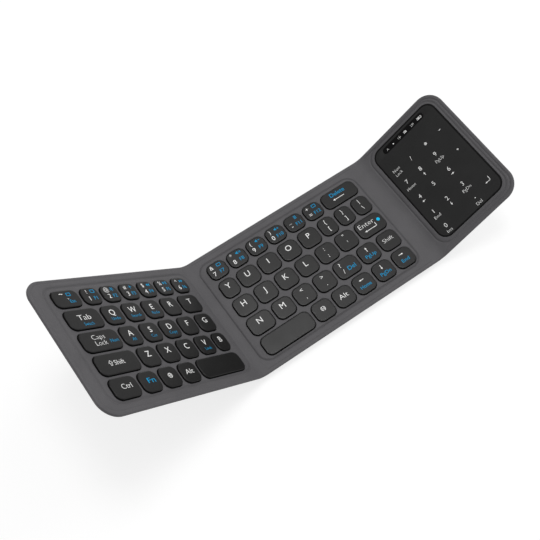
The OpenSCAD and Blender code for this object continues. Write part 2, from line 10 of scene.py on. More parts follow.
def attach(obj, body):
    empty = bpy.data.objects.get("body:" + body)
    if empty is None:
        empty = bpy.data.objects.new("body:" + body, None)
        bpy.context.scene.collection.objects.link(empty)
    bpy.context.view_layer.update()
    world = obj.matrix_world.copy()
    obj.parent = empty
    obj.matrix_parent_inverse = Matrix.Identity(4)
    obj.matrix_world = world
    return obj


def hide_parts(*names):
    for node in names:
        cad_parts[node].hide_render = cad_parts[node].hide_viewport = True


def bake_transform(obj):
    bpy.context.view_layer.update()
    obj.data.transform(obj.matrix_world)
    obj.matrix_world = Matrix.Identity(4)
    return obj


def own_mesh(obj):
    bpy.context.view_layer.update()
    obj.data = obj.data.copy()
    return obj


# Looks of the folding keyboard. Lengths are in millimetres until they reach a mesh.
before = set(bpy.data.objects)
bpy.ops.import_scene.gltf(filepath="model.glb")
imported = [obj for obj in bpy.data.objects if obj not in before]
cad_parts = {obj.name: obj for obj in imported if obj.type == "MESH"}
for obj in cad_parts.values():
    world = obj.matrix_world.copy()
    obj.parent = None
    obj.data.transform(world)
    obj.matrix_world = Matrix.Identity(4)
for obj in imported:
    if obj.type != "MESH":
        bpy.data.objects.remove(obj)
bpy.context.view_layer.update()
scene = bpy.context.scene
MM = 0.001

# ---------------------------------------------------------------- sizes, as in the CAD

PITCH, ROW, NUMBER_ROW = 17.0, 16.4, 14.7
KEY_GAP, KEY_R, KEY_CLEAR, KEY_RISE, KEY_TRAVEL = 2.4, 4.3, 0.4, 1.0, 1.2
KEY_WALL, FLANGE_W, FLANGE_T, POST_R = 1.1, 0.8, 0.6, 1.9
PANEL_T, SKIN_T, LIP_T, FRAME_T, CLEAR = 6.4, 0.8, 2.0, 1.2, 0.05
FIELD_FRONT, FIELD_BACK = 7.15, 8.35
DEPTH = NUMBER_ROW + 4 * ROW + FIELD_FRONT + FIELD_BACK
HALF = DEPTH / 2
CORNER_R = 12.5
LEFT_CELLS, MIDDLE_CELLS = 6.84, 7.43
LEFT_MARGIN_FOLD, LEFT_MARGIN_FREE = 5.2, 12.9
MIDDLE_MARGIN_LEFT, MIDDLE_MARGIN_RIGHT = 5.5, 5.8
RIGHT_MARGIN_FOLD, RIGHT_MARGIN_FREE = 3.8, 6.6
MIDDLE_LEN = MIDDLE_CELLS * PITCH + MIDDLE_MARGIN_LEFT + MIDDLE_MARGIN_RIGHT
LEFT_LEN = LEFT_CELLS * PITCH + LEFT_MARGIN_FOLD + LEFT_MARGIN_FREE
TOUCH_W, TOUCH_R, TOUCH_FRONT, TOUCH_BACK = 56.7, 7.5, 7.55, 5.55
TOUCH_D = DEPTH - TOUCH_FRONT - TOUCH_BACK
RIGHT_LEN = TOUCH_W + RIGHT_MARGIN_FOLD + RIGHT_MARGIN_FREE
FOLD = {"left": math.radians(44), "right": math.radians(36)}
REACH = {"left": 4.2, "right": 4.6}
FLAT = {"left": 0.0, "right": 3.1}
SIGN = {"left": -1, "right": 1}
BEVEL_W, FOLD_BEVEL_W = 6.0, 3.0
M_END = MIDDLE_LEN / 2

# The unrolled keyboard: u runs along it, and equals x on the middle panel
RADIUS = {s: REACH[s] / math.tan(FOLD[s] / 2) for s in FOLD}
ARC = {s: RADIUS[s] * FOLD[s] for s in FOLD}
BEND0 = {s: M_END + FLAT[s] for s in FOLD}
PANEL0 = {s: BEND0[s] + ARC[s] for s in FOLD}
U_MIN, U_MAX = -PANEL0["left"] - LEFT_LEN, PANEL0["right"] + RIGHT_LEN
PANELS = {"left": (U_MIN, -PANEL0["left"]), "middle": (-M_END, M_END), "right": (PANEL0["right"], U_MAX)}
# The leather is cut into three pieces at the seams, so that each fold is inside one piece
SEAM = M_END - 0.6
PIECES = {"left": (U_MIN, -SEAM), "middle": (-SEAM, SEAM), "right": (SEAM, U_MAX)}


def bend(co):
    """Points (u, y, z) of the unrolled keyboard, at their places with both panels raised."""
    co = np.asarray(co, float)
    out = co.copy()
    for side, sign in SIGN.items():
        u = co[:, 0] * sign
        past = u - BEND0[side]
        phi = np.clip(past / RADIUS[side], 0, FOLD[side])
        rest = np.maximum(past - ARC[side], 0)
        arm = RADIUS[side] + PANEL_T - co[:, 2]
        x = BEND0[side] + arm * np.sin(phi) + rest * np.cos(phi)
        z = PANEL_T + RADIUS[side] - arm * np.cos(phi) + rest * np.sin(phi)
        m = past > 0
        out[m, 0] = sign * x[m]
        out[m, 2] = z[m]
    return out


# ---------------------------------------------------------------- shader nodes


def put(node, **values):
    """Sets a node's inputs, with _ for a space in their names, and its other settings."""
    for key, value in values.items():
        socket = key.replace("_", " ")
        if socket in node.inputs:
            node.inputs[socket].default_value = value
        else:
            setattr(node, key, value)
    return node


def add(tree, kind, **values):
    return put(tree.nodes.new("ShaderNode" + kind), **values)


def link(source, output, target, socket):
    source.id_data.links.new(source.outputs[output], target.inputs[socket])


def times(color, share):
    return tuple(c * share for c in color)


def ramp(source, output, low, high, target, socket):
    """A colour ramp between two stops (position, colour or grey) on the way from one node to another."""
    node = add(source.id_data, "ValToRGB")
    for element, (position, color) in zip(node.color_ramp.elements, (low, high)):
        element.position = position
        element.color = (*(times((1, 1, 1), color) if isinstance(color, float) else color), 1.0)
    link(source, output, node, "Fac")
    link(node, "Color", target, socket)


def noise(place, output="Object", **values):
    node = add(place.id_data, "TexNoise", **values)
    link(place, output, node, "Vector")
    return node


def bump(source, output, bsdf, strength, distance):
    node = add(source.id_data, "Bump", Strength=strength, Distance=distance)
    link(source, output, node, "Height")
    link(node, "Normal", bsdf, "Normal")


# ---------------------------------------------------------------- camera and light

cam_data = bpy.data.cameras.new("camera")
cam = bpy.data.objects.new("camera", cam_data)
scene.collection.objects.link(cam)
cam_data.sensor_width = 36.0
cam_data.lens = 61.047
cam_data.clip_end = 20.0
# Columns: right, up, back and place of the camera fitted to the photo
cam.matrix_world = Matrix((
    (0.81809962, 0.51474273, -0.25642334, -0.18572180),
    (-0.57503092, 0.73782666, -0.35348446, -0.20791276),
    (0.00724242, 0.43663686, 0.89960869, 0.56658907),
    (0, 0, 0, 1)))
scene.camera = cam
scene.view_settings.view_transform = "Standard"

# White to the camera, and a soft sky that brightens upwards to everything else
world = bpy.data.worlds.new("studio")
scene.world = world
world.use_nodes = True
sky = world.node_tree
background = sky.nodes["Background"]
background.inputs["Color"].default_value = (1.0, 1.0, 1.0, 1.0)
strength = add(sky, "Math", operation="MAXIMUM")
direction = add(sky, "SeparateXYZ")
rise = add(sky, "MapRange", From_Min=0.0, From_Max=1.0, To_Min=0.26, To_Max=0.7)
link(add(sky, "LightPath"), "Is Camera Ray", strength, 0)
link(add(sky, "TexCoord"), "Generated", direction, 0)
link(direction, "Z", rise, "Value")
link(rise, "Result", strength, 1)
link(strength, 0, background, "Strength")


def softbox(name, at, target, size, power):
    data = bpy.data.lights.new(name, "AREA")
    data.shape = "RECTANGLE"
    data.size = data.size_y = size
    data.energy = power
    obj = bpy.data.objects.new(name, data)
    obj.location = at
    obj.rotation_euler = (Vector(target) - Vector(at)).to_track_quat("-Z", "Y").to_euler()
    scene.collection.objects.link(obj)


softbox("top_softbox", (0.14, 0.29, 1.66), (0, 0, 0), 0.5, 8.0)
softbox("right_softbox", (1.4, 0.27, 1.1), (0, 0, 0.02), 0.9, 7.0)

# ---------------------------------------------------------------- materials

LEATHER_TINT = (1.015, 0.985, 1.04)


def material(name):
    m = bpy.data.materials.new(name)
    m.use_nodes = True
    return m, m.node_tree, m.node_tree.nodes["Principled BSDF"]


def leather(name, base, grain=1.0):
    """Fine-grained polyurethane leather. Its grain follows the sheet through the folds."""
    m, t, b = material(name)
    uv = add(t, "UVMap", uv_map="UVMap")
    warp = noise(uv, "UV", Scale=90.0 * grain, Detail=3.0)
    fine = noise(uv, "UV", Scale=420.0 * grain, Detail=4.0, Roughness=0.6)
    cloud = noise(uv, "UV", Scale=4.0, Detail=5.0, Roughness=0.55)
    cells = add(t, "TexVoronoi", Scale=150.0 * grain, feature="DISTANCE_TO_EDGE")
    warped = add(t, "MixRGB", Fac=0.03)
    link(uv, "UV", warped, "Color1")
    link(warp, "Color", warped, "Color2")
    link(warped, "Color", cells, "Vector")
    height = add(t, "MixRGB", Fac=0.4)
    ramp(cells, "Distance", (0.0, 0.0), (0.16, 1.0), height, "Color1")
    link(fine, "Fac", height, "Color2")
    bump(height, "Color", b, 0.35, 0.00012)
    tone_and_crevice_shade = add(t, "MixRGB", blend_type="MULTIPLY", Fac=0.3)
    pale, deep = times(LEATHER_TINT, base * 1.07), times(LEATHER_TINT, base * 0.93)
    ramp(cloud, "Fac", (0.3, deep), (0.7, pale), tone_and_crevice_shade, "Color1")
    # Darker at the edges of the grain's cells: painted shade in its crevices
    ramp(cells, "Distance", (0.0, 0.72), (0.12, 1.0), tone_and_crevice_shade, "Color2")
    link(tone_and_crevice_shade, "Color", b, "Base Color")
    ramp(fine, "Fac", (0.3, 0.56), (0.7, 0.68), b, "Roughness")
    put(b, Specular_IOR_Level=0.3, Sheen_Weight=0.06, Sheen_Roughness=0.45)
    return m


def moulded(name, base, tint=(1.0, 1.0, 1.0), rough=(0.42, 0.56), scale=2600.0, relief=0.25, spec=0.4):
    """Moulded plastic with a fine spark-eroded texture."""
    m, t, b = material(name)
    place = add(t, "TexCoord")
    fine = noise(place, Scale=scale, Detail=2.0, Roughness=0.6)
    wear = noise(place, Scale=55.0, Detail=6.0, Roughness=0.6)
    ramp(wear, "Fac", (0.3, times(tint, base * 0.92)), (0.72, times(tint, base * 1.1)), b, "Base Color")
    ramp(wear, "Fac", (0.3, rough[1]), (0.7, rough[0]), b, "Roughness")
    put(b, Specular_IOR_Level=spec)
    bump(fine, "Fac", b, relief, 0.00005)
    return m


def ink(name, color, spec=0.5):
    """Printed legend: slightly uneven ink."""
    m, t, b = material(name)
    grain = noise(add(t, "TexCoord"), Scale=900.0, Detail=3.0)
    ramp(grain, "Fac", (0.3, times(color, 0.9)), (0.65, color), b, "Base Color")
    ramp(grain, "Fac", (0.3, 0.45), (0.7, 0.6), b, "Roughness")
    put(b, Specular_IOR_Level=spec)
    return m


def metal(name, color, rough):
    """Brushed metal."""
    m, t, b = material(name)
    stretch = add(t, "Mapping", Scale=(60.0, 2500.0, 2500.0))
    link(add(t, "TexCoord"), "Object", stretch, "Vector")
    grain = noise(stretch, "Vector", Scale=1.0, Detail=4.0)
    ramp(grain, "Fac", (0.3, rough * 0.8), (0.7, rough * 1.25), b, "Roughness")
    ramp(grain, "Fac", (0.3, times(color, 0.9)), (0.7, color), b, "Base Color")
    put(b, Metallic=1.0)
    return m


LEATHER = leather("pu_leather", 0.095)
# Darker copies of the leather: painted shade in the bottoms of the grooves and lines
PRESSED_SHADE = leather("pressed_line_painted_shade", 0.075)
PRESSED_SOFT_SHADE = leather("pressed_band_painted_shade", 0.086)
# Near-black walls of the leather's holes: its dark cut edge, and painted shade in the wells round keys and plate
CUT_EDGE_AND_SHADE = moulded("leather_cut_edge_and_painted_shade", 0.012, rough=(0.75, 0.9), scale=1500.0, relief=0.4, spec=0.1)
LEATHER_BACK = leather("pu_leather_back", 0.112, 0.9)
KEYCAP = moulded("keycap_plastic", 0.0075, (1.02, 1.0, 0.985), rough=(0.33, 0.4), spec=0.3)
# Darker plastic for the keycaps' lower sides and the touch plate's rim: painted shade
SKIRT_SHADE = moulded("keycap_skirt_painted_shade", 0.005, rough=(0.6, 0.75), scale=2200.0, spec=0.12)
BLACK = moulded("black_plastic", 0.012, rough=(0.5, 0.65), scale=1800.0)
PLATE = moulded("touch_plate_plastic", 0.019, rough=(0.5, 0.6), scale=3200.0, relief=0.12, spec=0.2)
WINDOW = moulded("window_plastic", 0.003, rough=(0.3, 0.38), scale=500.0, relief=0.01, spec=0.1)
WHITE_INK = ink("white_ink", (0.93, 0.93, 0.92))
BLUE_INK = ink("blue_ink", (0.0, 0.31, 0.60), 0.12)
LAMP = ink("indicator_blue", (0.0, 0.56, 0.94), 0.12)
SILICONE = moulded("dome_silicone", 0.45, (0.98, 1.0, 1.04), rough=(0.5, 0.62), scale=700.0)
FILM = moulded("membrane_film", 0.16, (0.55, 1.35, 1.05), rough=(0.25, 0.35), scale=300.0, relief=0.05)
RIBBON = moulded("ribbon_film", 0.3, (1.6, 0.75, 0.2), rough=(0.22, 0.34), scale=400.0, relief=0.05)
BOARD = moulded("solder_mask", 0.06, (0.35, 1.7, 0.85), rough=(0.3, 0.4), scale=900.0, relief=0.1)
FOIL = metal("battery_foil", (0.55, 0.56, 0.58), 0.3)
STEEL = metal("port_steel", (0.62, 0.62, 0.61), 0.22)

# ---------------------------------------------------------------- mesh helpers


def place_mesh(mesh, angle):
    """An object of the mesh, shaded smooth except where faces meet at more than the angle."""
    mesh.set_sharp_from_angle(angle=math.radians(angle))
    obj = bpy.data.objects.new(mesh.name, mesh)
    scene.collection.objects.link(obj)
    return obj


def make(name, co, faces, mats, uv=None, mat_index=None, angle=32.0):
    """A mesh object from points in millimetres."""
    mesh = bpy.data.meshes.new(name)
    mesh.from_pydata([tuple(p) for p in np.asarray(co, float) * MM], [], faces)
    for m in mats:
        mesh.materials.append(m)
    mesh.polygons.foreach_set("use_smooth", [True] * len(mesh.polygons))
    if mat_index is not None:
        mesh.polygons.foreach_set("material_index", mat_index)
    if uv is not None:
        layer = mesh.uv_layers.new(name="UVMap")
        index = np.zeros(len(mesh.loops), int)
        mesh.loops.foreach_get("vertex_index", index)
        layer.data.foreach_set("uv", np.asarray(uv, np.float32)[index].ravel())
    mesh.validate()
    mesh.update()
    return place_mesh(mesh, angle)


def circle(x, y, r, steps=24):
    return [(x + r * math.cos(a), y + r * math.sin(a)) for a in np.linspace(0, 2 * math.pi, steps + 1)[:-1]]


def grown(rect, s, steps=8):
    """Loop of a rounded rectangle (width, depth, corner radius, centre), grown by s on every side."""
    w, d, r, cx, cy = rect
    w, d, r = w + 2 * s, d + 2 * s, r + s
    pts = []
    for sx, sy, a0 in ((1, 1, 0), (-1, 1, 90), (-1, -1, 180), (1, -1, 270)):
        for i in range(steps + 1):
            a = math.radians(a0 + 90 * i / steps)
            pts.append((cx + sx * (w / 2 - r) + r * math.cos(a), cy + sy * (d / 2 - r) + r * math.sin(a)))
    return pts


def sd_rect(p, rect):
    """Signed distance from a rounded rectangle, negative inside."""
    w, d, r, cx, cy = rect
    qx = np.abs(p[:, 0] - cx) - (w / 2 - r)
    qy = np.abs(p[:, 1] - cy) - (d / 2 - r)
    return np.hypot(np.maximum(qx, 0), np.maximum(qy, 0)) + np.minimum(np.maximum(qx, qy), 0) - r


def in_polygon(p, poly):
    x, y = p[:, 0], p[:, 1]
    inside = np.zeros(len(p), bool)
    for (xj, yj), (xi, yi) in zip([poly[-1], *poly[:-1]], poly):
        cross = (yi > y) != (yj > y)
        if cross.any():
            inside ^= cross & (x < (xj - xi) * (y - yi) / (yj - yi) + xi)
    return inside


def rounded_edge(d, reach, drop):
    """How far an edge has dropped at a distance d inside it."""
    return drop * (1 - np.sqrt(np.clip(1 - np.clip(1 - d / reach, 0, 1) ** 2, 0, 1)))


def valley(d, half):
    """1 at no distance, and smoothly down to 0 at half."""
    return 0.5 + 0.5 * np.cos(np.pi * np.clip(np.abs(d) / half, 0, 1))


def closed(loop):
    return list(zip(loop, loop[1:] + loop[:1]))


def clip(loop, u0, u1):
    """Pieces of a closed loop whose points lie between u0 and u1, with cuts at the limits."""
    edges = []
    for a, b in closed(loop):
        if a[0] > b[0]:
            a, b = b, a
        if b[0] < u0 or a[0] > u1:
            continue
        if b[0] > a[0]:
            f = (b[1] - a[1]) / (b[0] - a[0])
            if a[0] < u0:
                a = (u0, a[1] + f * (u0 - a[0]))
            if b[0] > u1:
                b = (u1, a[1] + f * (u1 - a[0]))
        edges.append((a, b))
    return edges


def triangulate(edges, outline, holes, u0=-math.inf, u1=math.inf):
    """Points and triangles inside an outline and outside its holes, along all the given edges."""
    index, pairs = {}, []
    for edge in edges:
        i, j = (index.setdefault((round(x, 4), round(y, 4)), len(index)) for x, y in edge)
        if i != j:
            pairs.append((i, j))
    out = delaunay_2d_cdt([Vector(p) for p in index], pairs, [], 0, 1e-5)
    co = np.array([tuple(v) for v in out[0]], float)
    tri = np.array([tuple(f) for f in out[2]], int)
    mid = co[tri].mean(axis=1)
    keep = (mid[:, 0] > u0 + 1e-6) & (mid[:, 0] < u1 - 1e-6) & in_polygon(mid, outline)
    for hole in holes:
        low, high = np.min(hole, axis=0), np.max(hole, axis=0)
        ids = np.nonzero(keep & np.all((mid > low) & (mid < high), axis=1))[0]
        keep[ids[in_polygon(mid[ids], hole)]] = False
    tri = tri[keep]
    ab, ac = co[tri[:, 1]] - co[tri[:, 0]], co[tri[:, 2]] - co[tri[:, 0]]
    turn = ab[:, 0] * ac[:, 1] - ab[:, 1] * ac[:, 0]
    tri[turn < 0] = tri[turn < 0][:, ::-1]
    tri = tri[np.abs(turn) > 1e-9]
    used, tri = np.unique(tri, return_inverse=True)
    return co[used], [tuple(f) for f in tri.reshape(-1, 3).tolist()]


def borders(faces):
    """Directed edges that only one face has, each with that face's number."""
    seen = {}
    for k, f in enumerate(faces):
        for a, b in zip(f, f[1:] + f[:1]):
            seen.setdefault((min(a, b), max(a, b)), []).append((a, b, k))
    return [es[0] for es in seen.values() if len(es) == 1]


def solid(co, faces, top, low):
    """Closed mesh over flat faces: its points, its faces (tops, bottoms, walls) and the flat face of each."""
    n, level, rim = len(co), np.zeros(len(co)), borders(faces)
    pts = np.concatenate([np.c_[co, level + top], np.c_[co, level + low]])
    bottoms = [tuple(i + n for i in f[::-1]) for f in faces]
    walls = [(b, a, a + n, b + n) for a, b, _ in rim]
    return pts, faces + bottoms + walls, [*range(len(faces))] * 2 + [k for _, _, k in rim]


def middles(pts, faces):
    return np.array([pts[list(f)].mean(axis=0) for f in faces])


def lofts(forms):
    """Points and faces of closed forms, each through equal loops."""
    co, faces = [], []
    for loops in forms:
        first, n = len(co), len(loops[0])
        co += [p for loop in loops for p in loop]
        for j in range(first, len(co) - n, n):
            faces += [(j + i, j + (i + 1) % n, j + (i + 1) % n + n, j + i + n) for i in range(n)]
        faces.append(tuple(reversed(range(first, first + n))))
        faces.append(tuple(range(len(co) - n, len(co))))
    return co, faces


# ---------------------------------------------------------------- key layout


def letters(text):
    return [(c.lower(), 1, c) for c in text]


# Each key: its group, its width in pitches and its legend
LEFT_ROWS = [
    [("numbers_left", 1.29, "tilde")] + [("numbers_left", 0.933, c) for c in "123456"],
    [("modifiers_left", 1.66, "tab"), *letters("QWER"), ("t", 1.18, "T")],
    [("modifiers_left", 1.84, "caps"), *letters("ASDFG")],
    [("modifiers_left", 2.00, "lshift"), *letters("ZXCV"), ("b", 0.84, "B")],
    [("modifiers_left", 1.31, "ctrl"), ("modifiers_left", 1, "fn"), ("modifiers_left", 1, "sys"),
     ("modifiers_left", 1, "alt"), ("space_left", 2.53, "")]]
MIDDLE_ROWS = [
    [("numbers_middle", 0.943, c) for c in "7890-="] + [("symbols_middle", 1.77, "delete")],
    [("y", 0.844, "Y"), *letters("UIOP")] + [("symbols_middle", 0.862, c) for c in "[]\\"],
    [("h", 1.01, "H"), *letters("JKL"), ("symbols_middle", 1, ";"), ("symbols_middle", 1, "'"),
     ("enter", 1.42, "enter")],
    [("n", 1.19, "N"), *letters("M"), ("symbols_middle", 1, ","), ("symbols_middle", 1, "."),
     ("symbols_middle", 1.21, "/"), ("arrows", 1, "up"), ("symbols_middle", 1.03, "rshift")],
    [("space_right", 2.41, ""), ("symbols_middle", 1, "sys"), ("symbols_middle", 1, "alt"),
     ("arrows", 1, "left"), ("arrows", 1, "down"), ("arrows", 1.02, "right")]]


def node_of(group):
    single = len(group) == 1 or group.startswith("space") or group == "enter"
    return ("key_" if single else "keys_") + group


def layout(rows, x0):
    """The keys of a panel: node, place, rounded rectangle and legend."""
    out, y = [], HALF - FIELD_BACK
    for r, row in enumerate(rows):
        depth = NUMBER_ROW if r == 0 else ROW
        x = x0
        for group, width, legend in row:
            u, v = x + width * PITCH / 2, y - depth / 2
            rect = (width * PITCH - KEY_GAP, depth - KEY_GAP, KEY_R, u, v)
            out.append({"node": node_of(group), "u": u, "y": v, "rect": rect, "legend": legend})
            x += width * PITCH
        y -= depth
    return out


KEYS = {"left": layout(LEFT_ROWS, -PANEL0["left"] - LEFT_MARGIN_FOLD - LEFT_CELLS * PITCH),
        "middle": layout(MIDDLE_ROWS, -M_END + MIDDLE_MARGIN_LEFT)}
groups = {}
for k in KEYS["left"] + KEYS["middle"]:
    groups.setdefault(k["node"], []).append(k)

# ---------------------------------------------------------------- the whole sheet of leather

OUTLINE = (U_MAX - U_MIN, DEPTH, CORNER_R, (U_MAX + U_MIN) / 2, 0.0)


def outline_loop(inset):
    return grown(OUTLINE, -inset, 14)


def outline_distance(p):
    """Distance inside the whole unrolled outline, positive inside."""
    return -sd_rect(p, OUTLINE)


def panel_share(p):
    """0 at a panel's edge and in the folds, 1 where its flat bottom starts, and the distances themselves."""
    d_edge = outline_distance(p)
    d_fold = np.full(len(p), -1.0)
    far = np.full(len(p), 1e3)
    for name, (a, b) in PANELS.items():
        lo = far if name == "left" else p[:, 0] - a
        hi = far if name == "right" else b - p[:, 0]
        d_fold = np.maximum(d_fold, np.minimum(lo, hi))
    a, b = d_edge / BEVEL_W, d_fold / FOLD_BEVEL_W
    k = 0.16
    h = np.clip(0.5 + 0.5 * (b - a) / k, 0, 1)
    return b * (1 - h) + a * h - k * h * (1 - h), d_edge, d_fold


def soft_rim(p):
    """Rounding of the edge where the front and the back leather meet."""
    return 0.12 * np.clip(1 - outline_distance(p) / 0.15, 0, 1) ** 2


def fold_edges(u0, u1, steps=16):
    """Lines across the sheet at its cut ends and through the folds, so that it bends evenly."""
    lines = [u for u in (u0, u1) if U_MIN + 1 < u < U_MAX - 1]
    for side, sign in SIGN.items():
        across = [sign * (BEND0[side] + ARC[side] * i / steps) for i in range(steps + 1)]
        lines += [u for u in across if u0 < u < u1]
    return [((u, -HALF), (u, HALF)) for u in lines]


def sheet(name, panel, edges, holes, top, bottom, mats, groove_shade=None):
    """A piece of leather. Walls at its holes take the second material, near black as cut edge and painted shade,
    and faces in the shade mask take the third, painted shade of the grooves.
    """
    u0, u1 = PIECES[panel]
    co, tri = triangulate(edges + fold_edges(u0, u1), outline_loop(0.0), holes, u0, u1)
    pts, faces, _ = solid(co, tri, top(co), bottom(co))
    mat = [0] * len(faces)
    if groove_shade:
        mid = middles(pts, faces[2 * len(tri):])
        at_cut = np.minimum(np.abs(mid[:, 0] - u0), np.abs(mid[:, 0] - u1)) < 1e-3
        # Hole walls take the near-black edge, partly painted shade of the wells; faces in the shade mask take the
        # painted groove shade
        mat[2 * len(tri):] = ((outline_distance(mid) > 3.0) & ~at_cut).astype(int).tolist()
        mat[:len(tri)] = (2 * groove_shade(middles(co, tri)).astype(int)).tolist()
    return make(name, bend(pts), faces, mats, pts[:, :2] / 100.0, mat)


# ---------------------------------------------------------------- front leather

# Reach inwards and drop of the rounded edges
OUTER_EDGE, HOLE_EDGE = (1.3, 0.45), (0.34, 0.26)
EDGE_STEPS = (0.0, 0.04, 0.15, 0.33, 0.58, 0.9, 1.3, 1.75, 2.0, 2.27, 2.5, 2.73, 3.0, 3.25)
HOLE_STEPS = (0.0, 0.02, 0.07, 0.14, 0.23, 0.34)
GROOVE_STEPS = (-1.0, -0.75, -0.52, -0.3, 0.0, 0.3, 0.52, 0.75, 1.0)
# The groove round each panel: left, right, front and back end, corner radius, half width, depth, and
# the share of its half width that is painted darker, as shade in its bottom
GROOVES = {"left": (U_MIN + 10.0, -PANEL0["left"] + 0.4, -41.0, 41.6, 8.0, 1.7, 0.5, 0.51),
           "middle": (-M_END + 0.9, M_END - 4.5, -41.4, 41.2, 8.0, 1.1, 0.55, 0.29),
           "right": (PANEL0["right"] + 0.4, U_MAX - 4.9, -43.2, 44.3, 9.5, 1.1, 0.4, 0.29)}
# The line along the outer edge: distance from the edge, half width, depth, and half width of its part painted
# darker as shade
LINE_IN, LINE_HALF, LINE_DEPTH, LINE_SHADE_HALF = 2.5, 0.75, 0.4, 0.22
# The painted shade of the lines stops this far into the right panel
LINE_SHADE_END = PANEL0["right"] + 7.0


def front_sheet(panel, rects):
    u0, u1, y0, y1, r, half, deep, shade_share = GROOVES[panel]
    groove = (u1 - u0, y1 - y0, r, (u0 + u1) / 2, (y0 + y1) / 2)
    edges = []
    for s in EDGE_STEPS:
        edges += clip(outline_loop(s), *PIECES[panel])
    for rect in rects:
        for s in HOLE_STEPS:
            edges += closed(grown(rect, s))
    for s in GROOVE_STEPS:
        edges += clip(grown(groove, s * half, 10), *PIECES[panel])

    def top(p):
        d = outline_distance(p)
        z = PANEL_T - rounded_edge(d, *OUTER_EDGE)
        fade = np.clip(panel_share(p)[2] / 3.0, 0, 1) * np.where(p[:, 0] < -M_END, 0.5, 1.0)
        z -= LINE_DEPTH * valley(d - LINE_IN, LINE_HALF) * fade
        for rect in rects:
            w, dd, _, cx, cy = rect
            near = (np.abs(p[:, 0] - cx) < w / 2 + 1) & (np.abs(p[:, 1] - cy) < dd / 2 + 1)
            z[near] -= rounded_edge(np.maximum(sd_rect(p[near], rect), 0), *HOLE_EDGE)
        return z - deep * valley(sd_rect(p, groove), half)

    # Faces painted darker, as shade in the bottoms of the grooves and lines
    def groove_shade(p):
        line = np.abs(sd_rect(p, groove)) < shade_share * half
        if panel != "left":
            line |= (np.abs(outline_distance(p) - LINE_IN) < LINE_SHADE_HALF) & (panel_share(p)[2] > 2.0)
        return line & (p[:, 0] < LINE_SHADE_END)

    return sheet("front_leather_" + panel, panel, edges, [grown(rect, 0.0) for rect in rects], top,
                 lambda p: PANEL_T - SKIN_T + soft_rim(p),
                 [LEATHER, CUT_EDGE_AND_SHADE, PRESSED_SOFT_SHADE if panel == "left" else PRESSED_SHADE], groove_shade)


def key_hole(k):
    w, d, r, u, y = k["rect"]
    return w + 2 * KEY_CLEAR, d + 2 * KEY_CLEAR, r + KEY_CLEAR, u, y


touch_u = PANEL0["right"] + RIGHT_MARGIN_FOLD + TOUCH_W / 2
touch_y = (TOUCH_FRONT - TOUCH_BACK) / 2
plate_hole = (TOUCH_W + 0.3, TOUCH_D + 0.3, TOUCH_R + 0.15, touch_u, touch_y)
holes = {"left": [key_hole(k) for k in KEYS["left"]], "middle": [key_hole(k) for k in KEYS["middle"]],
         "right": [plate_hole]}
front = {panel: front_sheet(panel, holes[panel]) for panel in PANELS}

# ---------------------------------------------------------------- back leather

LIP_Z, LIP_W = PANEL_T - LIP_T, 3.0
RIM_REACH, RIM_RISE = 0.5, 0.35
RIM_STEPS = (0.0, 0.03, 0.12, 0.27, 0.5)
DISH_STEPS = (0.05, 0.12, 0.22, 0.35, 0.5, 0.65, 0.78, 0.88, 0.95, 1.02, 1.1)
# Where the pocket's floor starts: distance from the edge and from the fold, and its corner radius
POCKET = (7.55, 4.25, 2.7)


def soft_clamp(s, k=0.14):
    """0 below 0 and 1 above 1, rounded at both ends."""
    lo = np.where(s < k, np.where(s < -k, 0, (s + k) ** 2 / (4 * k)), s)
    t = 1 - lo
    return 1 - np.where(t < k, np.where(t < -k, 0, (t + k) ** 2 / (4 * k)), t)


def back_outer(p):
    s, d, _ = panel_share(p)
    start = soft_clamp(np.zeros(1))[0]
    z = LIP_Z * (1 - np.clip((soft_clamp(s) - start) / (1 - start), 0, 1))
    return np.minimum(z + rounded_edge(d, RIM_REACH, RIM_RISE), LIP_Z + RIM_RISE)


def back_inner(p):
    _, d, f = panel_share(p)
    pocket = np.clip(np.minimum((d - LIP_W) / 4.5, (f - 2.3) / 1.9), 0, 1)
    z = PANEL_T - SKIN_T - CLEAR - (PANEL_T - 2 * SKIN_T - CLEAR) * pocket
    ribbon_room = 0.35 * np.clip(d - LIP_W, 0, 1) * np.clip((0.5 - f) / 0.5, 0, 1)
    return z - ribbon_room - soft_rim(p)


def dish_loops(panel):
    """Closed loops round a panel's slope, and one where the floor of its pocket starts."""
    a, b = PANELS[panel]
    left_end, right_end = panel == "left", panel == "right"
    loops = []
    for e, f, turn in [(s * BEVEL_W, s * FOLD_BEVEL_W, 0.2 + 2.2 * s) for s in DISH_STEPS] + [POCKET]:
        u0 = a + (e if left_end else f)
        u1 = b - (e if right_end else f)
        y = HALF - e
        pts = []
        for cx, cy, a0, free in ((u1, y, 0, right_end), (u0, y, 90, left_end),
                                 (u0, -y, 180, left_end), (u1, -y, 270, right_end)):
            r = max(CORNER_R - e, 1.0) if free else turn
            sx = -1 if cx == u1 else 1
            sy = -1 if cy > 0 else 1
            steps = 12 if free else 5
            for i in range(steps + 1):
                ang = math.radians(a0 + 90 * i / steps)
                pts.append((cx + sx * r + r * math.cos(ang), cy + sy * r + r * math.sin(ang)))
        loops.append(pts)
    return loops


def back_sheet(panel):
    u0, u1 = PIECES[panel]
    loops = [outline_loop(s) for s in (*RIM_STEPS, LIP_W, 7.5)]
    for name, (a, b) in PANELS.items():
        if b > u0 and a < u1:
            loops += dish_loops(name)
    edges = [edge for loop in loops for edge in clip(loop, u0, u1)]
    return sheet("back_leather_" + panel, panel, edges, [], back_inner, back_outer, [LEATHER_BACK])


back = {panel: back_sheet(panel) for panel in PANELS}

# ---------------------------------------------------------------- keycaps

CAP_TOP = PANEL_T + KEY_RISE
SKIRT_SHADE_Z = CAP_TOP - 0.3
FOOT_Z = PANEL_T - SKIN_T - FRAME_T - CLEAR - FLANGE_T
CAP_ROUND, SOFT = 0.42, 0.1


def raised(loop, z):
    return [(x, y, z) for x, y in loop]


